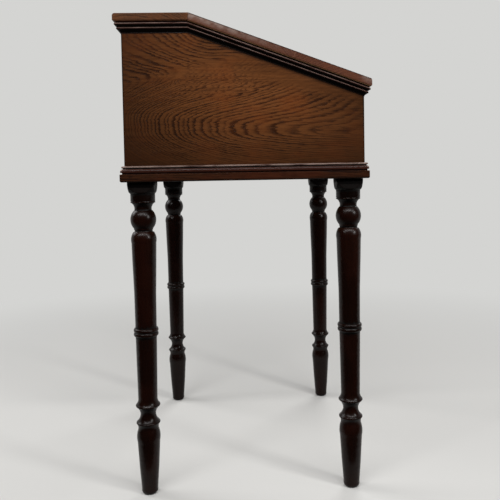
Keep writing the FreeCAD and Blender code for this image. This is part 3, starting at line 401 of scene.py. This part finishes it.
def wall_figure(ahead, deep, up, log):
    """Arches that lie on their side along the board, opening to the front, a bowl from a branch at the upper
    back, and wild grain where the two meet. ahead is towards the front, deep is from the heart to the face
    and up is above the heart. Years are counted outwards from each middle, so many to the metre."""
    years_deep = 160
    years_down = 210
    years_in_bowl = 135
    bowl_height = 0.255
    bowl_start = -0.10
    meeting_ahead = -0.06
    meeting_height = 0.115
    nose = ahead.math("POWER", 0.0067, ahead) * 7.4 + (deep.size() - face_depth) * years_deep
    blunt = (0.019 - ahead * 0.065).most(0.004)
    off_axis = up + ahead * 0.05
    upper = off_axis.most(0.0)
    lower = (0 - off_axis).most(0.0)
    upper = (upper ** 4 + blunt ** 4) ** 0.25 - blunt
    lower = (lower ** 4 + blunt ** 4) ** 0.25 - blunt
    years_up = 154 - ahead * 410
    arches = nose + upper * years_up + lower * years_down
    behind = ahead.math("SMOOTH_MAX", bowl_start - ahead, 0.0, 0.06)
    rise = up - bowl_height
    bowl = (behind * 0.065 + rise * rise) ** 0.5 * years_in_bowl + 18.0
    apart = (arches - bowl).size()
    meet = ((ahead - meeting_ahead) / 0.13) ** 2 + ((up - meeting_height) / 0.05) ** 2
    wild = 1 - meet.ramp(0.1, 1.4)
    years = arches.math("SMOOTH_MIN", arches, bowl, 8.0)
    years = years + wild * (log.cloud((16.0, 150.0, 150.0)) - 0.5) * 4.0
    ends = 1 - ahead.size().ramp(0.245, 0.29)
    foot = up.ramp(-0.085, -0.045)
    plain = (up + ahead * 0.2).ramp(0.100, 0.135) * ahead.ramp(-0.06, 0.06) * 0.8
    plain = plain + ahead.ramp(0.02, 0.2) * 0.2
    clear = apart.ramp(-4.0, 8.0) * (1 - wild * 0.3) * (0.45 + ends * 0.55)
    return years, clear * (0.5 + foot * 0.5) * (1 - plain)


def reach(node, way):
    """The least and the most that a solid reaches along a way."""
    spots = [way.dot(v.co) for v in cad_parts[node].data.vertices]
    return min(spots), max(spots)


slope = math.radians(20.2)
down = Vector((0, -math.cos(slope), -math.sin(slope)))
out = Vector((0, -math.sin(slope), math.cos(slope)))
cornice_foot = reach("cornice_raking_left", out)[0]


def wall_shading_and_old_polish(place, colour):
    """A painted fall-off of light away from a bright spot high in the middle of the board, partly old polish;
    painted shade at its ends, partly dirt; and a painted shadow up under the sloping cornice, partly dirt."""
    # Painted fall-off of light around the bright spot, partly old polish
    back = place.along((0, 1, 0))
    along = back * 2.9 + 0.10
    rise = place.along((0, 0, 1)) * 4.0 - 4.12
    far = (along * along + rise * rise) ** 0.5
    # Painted shade at the ends of the board, partly dirt
    edge = back.size().ramp(0.276, 0.2855)
    darkening = (far.ramp(0.15, 1.35) * 0.85).most(edge * 0.9)
    colour = darkening.mix(colour, wall_stain["pore_and_shade"])
    # Painted shadow of the sloping cornice, dark close under it and fading down the board, kept off the level
    # part at the back
    below = cornice_foot - place.along(out)
    close = (1 - below.ramp(-0.002, 0.014)) * 0.75
    dusk = close.most((1 - below.ramp(0.0, 0.085)) * 0.3)
    return (dusk * (1 - back.ramp(0.07, 0.14))).mix(colour, wall_stain["pore_and_shade"])


for where, turn in (("left", -1), ("right", 1)):
    node = f"side_panel_{where}"
    low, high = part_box(node)
    face = low.x if turn < 0 else high.x
    heart = (face - turn * face_depth, 0.0, 0.890)
    side_oak = oak(f"side_oak_{where}", (0, -1, 0), heart, wall_stain, ring=0.0070, sway=0.006, polish=0.40,
                   growth=wall_figure, ageing_and_painted_light=wall_shading_and_old_polish, inside=((-turn, 0, 0), bare_stain))
    finished(node, f"side_board_{where}", "carcase", side_oak, arris=0.0006,
             cuts=[((0, 1, 0), 0.05), ((0, 0, 1), 0.05)], uneven=0.00025)


def front_back_darkening(place, colour):
    """The front and back darker towards their corners and towards their foot."""
    corner = place.along((1, 0, 0)).size().ramp(0.22, 0.37) * 0.55
    foot = (1 - place.along((0, 0, 1)).ramp(0.80, 0.90)) * 0.35
    return (corner + foot).mix(colour, wall_stain["pore_and_shade"])


for where, turn, lean, rise in (("front", -1, 0.09, -0.05), ("back", 1, -0.13, 0.03)):
    node = f"{where}_board"
    low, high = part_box(node)
    face = low.y if turn < 0 else high.y
    heart = (0.1 * turn, face - turn * 0.05, (low.z + high.z) / 2 + rise)
    end_oak = oak(f"{where}_oak", (1, 0, 0), heart, wall_stain, ring=0.0056, lean=lean, skew=0.2, sway=0.016,
                  polish=0.40, depth=0.8, ageing_and_painted_light=front_back_darkening, inside=((0, -turn, 0), bare_stain))
    finished(node, f"{where}_wall", "carcase", end_oak, arris=0.0006,
             cuts=[((1, 0, 0), 0.06), ((0, 0, 1), 0.05)], uneven=0.00025)

# Floor, crest rail and glue blocks: plain oak left unstained inside the box, now brown with age. The floor
# boards are nailed to the frame, the rail and blocks are glued under the shelf.

for i, where in enumerate(("front", "middle", "back")):
    node = f"floor_board_{where}"
    low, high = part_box(node)
    heart = (0.1, (low.y + high.y) / 2 + 0.03 - 0.02 * i, low.z - 0.04 - 0.03 * i)
    floor_oak = oak(f"floor_oak_{where}", (1, 0, 0), heart, bare_stain, ring=0.0048, lean=0.05, polish=0.62)
    finished(node, f"bottom_board_{where}", "carcase", floor_oak, arris=0.0005,
             cuts=[((1, 0, 0), 0.07), ((0, 1, 0), 0.06)], uneven=0.0002)
low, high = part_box("crest_rail")
crest_oak = oak("crest_oak", (1, 0, 0), (0, low.y - 0.06, low.z - 0.03), bare_stain, polish=0.6)
finished("crest_rail", "rail_under_crest", "carcase", crest_oak, arris=0.0006,
         cuts=[((1, 0, 0), 0.06)], uneven=0.0002)
finished("shelf_glue_blocks", "rub_blocks", "carcase", crest_oak, arris=0.0006,
         cuts=[((1, 0, 0), 0.05)], uneven=0.0002)

# Cornice: the same oak as the base mouldings, worked to two reeds and a cove and glued round the box under
# the top. It runs level at the back, rakes down both sides and crosses the front, mitred at each corner.


def cove_shade_and_dust(rise, top):
    """The cove of a length whose top is so far up its rise, left black: painted shade, partly old polish and
    dust.
    """
    def ageing_and_painted_light(place, colour):
        # Painted shade in the cove under the lower reed, partly old polish and dust
        black = (1 - place.along(rise).ramp(top - 0.0225, top - 0.0190)) * 0.8
        return black.mix(colour, moulding_stain["pore_and_shade"])
    return ageing_and_painted_light


for i, node in enumerate(("cornice_level_left", "cornice_raking_left", "cornice_level_right",
                          "cornice_raking_right", "cornice_back", "cornice_front")):
    low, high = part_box(node)
    grain = Vector((1, 0, 0)) if high.x - low.x > 0.5 else Vector((0, 1, 0))
    rise = Vector((0, 0, 1))
    cut_spacing = 0.02
    if "raking" in node:
        # These lengths are cut near their ends only
        grain = -down
        rise = out
        cut_spacing = 10.0
    heart = (low + high) / 2 + Vector((0.04, -0.03, -0.05 + 0.004 * i))
    # The reeds' lower halves and the cove get painted shade, and their upper halves a painted highlight with
    # their rubbed edges
    cornice_oak = oak(node + "_oak", grain, heart, moulding_stain, ring=0.003, lean=0.01, polish=0.34,
                      depth=0.35, gloss=0.08, wear_and_highlight_share=0.42, wear_highlight_rise=0.0, under=0.9, turned=-0.25,
                      ageing_and_painted_light=cove_shade_and_dust(rise, reach(node, rise)[1]))
    finished(node, node.replace("cornice", "reeded_cornice"), "carcase", cornice_oak,
             cuts=[(grain, cut_spacing)], uneven=0.00008, soft_angle=28.0, span=0.0002)

# Top shelf: one oak board fixed level behind the crest, with a rounded edge on its three open sides. The
# hinge leaves are let into its front edge.

top_stain = {"pale": tone(94, 61, 40), "deep": tone(52, 31, 20), "pore_and_shade": tone(26, 14, 8),
             "warm": tone(97, 57, 32), "worn_and_highlight": tone(126, 94, 73)}
low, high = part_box("top_shelf")
shelf_oak = oak("shelf_oak", (1, 0, 0), (0.05, 0.27, low.z - 0.16), top_stain, ring=0.005, lean=-0.05,
                skew=0.15, depth=0.85)
finished("top_shelf", "shelf_board", "carcase", shelf_oak, arris=0.0004,
         cuts=[((1, 0, 0), 0.05), ((0, 1, 0), 0.04), ((0, 0, 1), 0.02)], uneven=0.0002)

# Lid: three oak boards glued edge to edge, which slope from the crest to the clerk. The writing face has lost
# some of its stain to sleeves and paper, and the underside is bare. Two battens screwed underneath keep it
# flat.

lid_face = reach("lid_board_middle", out)[1]


def lid_rubbing_sheen_and_shade(place, colour):
    """Stain rubbed thin where the writer's arms lie, ends stained redder, a painted grey sheen on them near
    the crest and at the front corners, and a dark line along their upper edge that is painted shade on the
    rounded arris, partly old polish."""
    across = place.along((1, 0, 0))
    reach_down = place.along(down) - 0.20
    rubbed = 1 - ((across / 0.34) ** 2 + (reach_down / 0.24) ** 2).ramp(0.1, 1.2)
    face = place.node("TexCoord", {}, {}, "Normal").along(out).ramp(0.7, 0.95)
    rubbed = rubbed * face * place.cloud((14.0, 40.0, 40.0), 4.0).ramp(0.25, 0.7)
    colour = (rubbed * 0.3).mix(colour, tone(150, 120, 98))
    end = across.size().ramp(0.3660, 0.3685)
    colour = (end * 0.45).mix(colour, tone(84, 47, 38))
    high = place.along(out)
    back = place.along((0, 1, 0))
    # Painted sheen on the ends near the crest and at the front corners
    painted_sheen = end * back.ramp(-0.16, 0.13).most((0 - back).ramp(0.26, 0.30) * 0.7)
    painted_sheen = painted_sheen * high.ramp(lid_face - 0.018, lid_face - 0.004)
    painted_sheen = painted_sheen * place.cloud((60.0, 60.0, 90.0), 4.0).ramp(0.2, 0.7)
    colour = (painted_sheen * 0.85).mix(colour, tone(136, 119, 111))
    # Painted shade along the rounded top arris of the ends, partly old polish
    edge = end * high.ramp(lid_face - 0.0036, lid_face - 0.0016)
    return (edge * 0.8).mix(colour, top_stain["pore_and_shade"])


lid_boards = (("upper", 0.05, 0.05), ("middle", -0.09, -0.01), ("lower", 0.03, 0.14))
for i, (where, lean, aside) in enumerate(lid_boards):
    node = f"lid_board_{where}"
    low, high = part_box(node)
    heart = (low + high) / 2 - out * (0.11 + 0.03 * i) + down * aside
    lid_oak = oak(f"lid_oak_{where}", (1, 0, 0), heart, top_stain, ring=0.005, lean=lean, skew=0.1 - 0.1 * i,
                  depth=0.85, ageing_and_painted_light=lid_rubbing_sheen_and_shade, inside=(-out, bare_stain))
    finished(node, f"slope_board_{where}", "lid", lid_oak, arris=0.00025,
             cuts=[((1, 0, 0), 0.05), (down, 0.04), (out, 0.02)], uneven=0.0002)
for where in ("left", "right"):
    node = f"lid_batten_{where}"
    low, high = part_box(node)
    heart = (low + high) / 2 - out * 0.05 + Vector((0.02, 0, 0))
    batten_oak = oak(f"batten_oak_{where}", down, heart, bare_stain, polish=0.6)
    finished(node, f"batten_{where}", "lid", batten_oak, arris=0.0006, cuts=[(down, 0.05)],
             uneven=0.0002)

# Hinges and lock: cast and rolled brass and iron, browned with age. The leaves, lock and keyhole plate are
# let in flush and screwed or pinned.


def old_metal(name, bright, tarnished, rough):
    """Metal with uneven tarnish and fine file marks."""
    file_depth = 0.000012
    tarnish_depth = 0.00004
    material = bpy.data.materials.new(name)
    place = start_nodes(material).node("TexCoord", {}, {}, "Object")
    tarnish = place.cloud((120.0, 120.0, 120.0), 4.0)
    files = place.cloud((90.0, 2500.0, 2500.0), 2.0)
    colour = (tarnish.ramp(0.35, 0.68) * 0.8 + (files - 0.5) * 0.2).mix(bright, tarnished)
    height = files * file_depth + tarnish * tarnish_depth
    relief = place.node("Bump", {}, {"Strength": 1.0, "Distance": 1.0, "Height": height}, "Normal")
    shader = place.node("BsdfPrincipled", {}, {
        "Base Color": colour, "Metallic": 1.0, "Roughness": rough + tarnish * 0.28, "Normal": relief}, "BSDF")
    place.node("OutputMaterial", {}, {"Surface": shader})
    return material


metals = {"brass": old_metal("old_brass", tone(196, 152, 84), tone(96, 70, 40), 0.22),
          "steel": old_metal("old_iron", tone(108, 104, 100), tone(52, 46, 42), 0.34)}
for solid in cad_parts.values():
    slot = solid.data.materials[0].name
    if slot in metals:
        solid.material_slots[0].link = "OBJECT"
        solid.material_slots[0].material = metals[slot]

# Floor, light and camera: a pale studio floor that fades into a pale ground, soft lamps over and beside the
# camera and black cards that keep the ground out of the polish. The camera is square to the desk's left side.

floor_mesh = bpy.data.meshes.new("studio_floor")
shape = bmesh.new()
bmesh.ops.create_circle(shape, cap_ends=True, segments=96, radius=14.0)
shape.to_mesh(floor_mesh)
shape.free()
studio_floor = placed("studio_floor", floor_mesh)
ground = tone(212, 212, 210)
floor_paint = bpy.data.materials.new("floor_paint")
place = start_nodes(floor_paint).node("TexCoord", {}, {}, "Object")
away = place.node("VectorMath", {"operation": "LENGTH"}, {0: place}, "Value")
matt = place.node("BsdfPrincipled", {}, {
    "Base Color": tone(212, 211, 208), "Roughness": 0.7, "Specular IOR Level": 0.0}, "BSDF")
glow = place.node("Emission", {}, {"Color": ground, "Strength": 1.0})
shader = place.node("MixShader", {}, {0: away.ramp(0.9, 2.6), 1: matt, 2: glow})
place.node("OutputMaterial", {}, {"Surface": shader})
floor_mesh.materials.append(floor_paint)

# The cards stand behind the camera and beside it and lie on the floor before it. Only reflections show them.
card_far = -2.7
card_near = -0.42
card_side = 3.0
card_foot = 0.01
card_head = 4.0
card_line = [(0.0, -card_side), (card_far, -card_side), (card_far, card_side), (0.0, card_side)]
card_corners = [(x, y, z) for z in (card_foot, card_head) for x, y in card_line]
card_corners += [(card_near, -card_side, card_foot), (card_near, card_side, card_foot)]
card_mesh = bpy.data.meshes.new("black_card")
card_mesh.from_pydata(card_corners, [], [(0, 1, 5, 4), (1, 2, 6, 5), (2, 3, 7, 6), (1, 8, 9, 2)])
black_card = placed("black_card", card_mesh)
black_card.visible_camera = False
black_card.visible_diffuse = False
black_card.visible_transmission = False
black_card.visible_shadow = False
card_cloth = bpy.data.materials.new("card_cloth")
start = start_nodes(card_cloth)
cloth = start.node("BsdfDiffuse", {}, {"Color": tone(20, 20, 20)})
start.node("OutputMaterial", {}, {"Surface": cloth})
card_mesh.materials.append(card_cloth)

# The ground is pale where it is seen, and lights the desk less than it looks
world = bpy.data.worlds.new("studio")
bpy.context.scene.world = world
start = start_nodes(world)
seen = start.node("LightPath", {}, {}, "Is Camera Ray")
for kind in ("Is Glossy Ray", "Is Transmission Ray"):
    seen = seen.most(start.node("LightPath", {}, {}, kind))
room = start.node("Background", {}, {"Color": tone(200, 201, 203), "Strength": 0.32})
backdrop = start.node("Background", {}, {"Color": ground, "Strength": 1.0})
start.node("OutputWorld", {}, {"Surface": start.node("MixShader", {}, {0: seen, 1: room, 2: backdrop})})

# Each lamp: the way to it from the desk's middle, how far it is, its width and height, and its watts
aim = Vector((-0.1, 0.0, 0.75))
lamps = {"lamp_over_camera": ((-0.70, 0.0, 0.70), 2.6, 4.4, 0.15, 70.0),
         "lamp_right": ((-0.58, -0.73, 0.36), 2.8, 0.4, 0.4, 24.0),
         "lamp_back": ((0.30, 0.80, 0.55), 3.0, 1.6, 1.6, 36.0),
         "lamp_far_side": ((0.80, -0.35, 0.60), 3.0, 1.4, 1.4, 32.0)}
for name, (way, far, wide, tall, watts) in lamps.items():
    lamp = bpy.data.lights.new(name, "AREA")
    lamp.shape = "RECTANGLE"
    lamp.size = wide
    lamp.size_y = tall
    lamp.energy = watts
    stand = placed(name, lamp)
    way = Vector(way).normalized()
    stand.location = aim + way * far
    stand.rotation_euler = (-way).to_track_quat("-Z", "Y").to_euler()

eye = Vector((-1.8132, -0.0022, 0.7783))
yaw, pitch, roll = (math.radians(angle) for angle in (-1.919, 2.317, -1.0))
ahead = Vector((math.cos(yaw), math.sin(yaw), 0.0))
right = Vector((math.sin(yaw), -math.cos(yaw), 0.0))
look = ahead * math.cos(pitch) - Vector((0, 0, math.sin(pitch)))
up = Vector((0, 0, math.cos(pitch))) + ahead * math.sin(pitch)
right, up = right * math.cos(roll) + up * math.sin(roll), up * math.cos(roll) - right * math.sin(roll)
lens = bpy.data.cameras.new("camera")
lens.lens = 44.12
lens.sensor_width = 36.0
lens.shift_x = -0.0350
lens.shift_y = -0.100
camera = placed("camera", lens)
turn = Matrix((right, up, -look)).transposed().to_4x4()
camera.matrix_world = Matrix.Translation(eye) @ turn
bpy.context.scene.camera = camera
bpy.context.scene.view_settings.view_transform = "Standard"
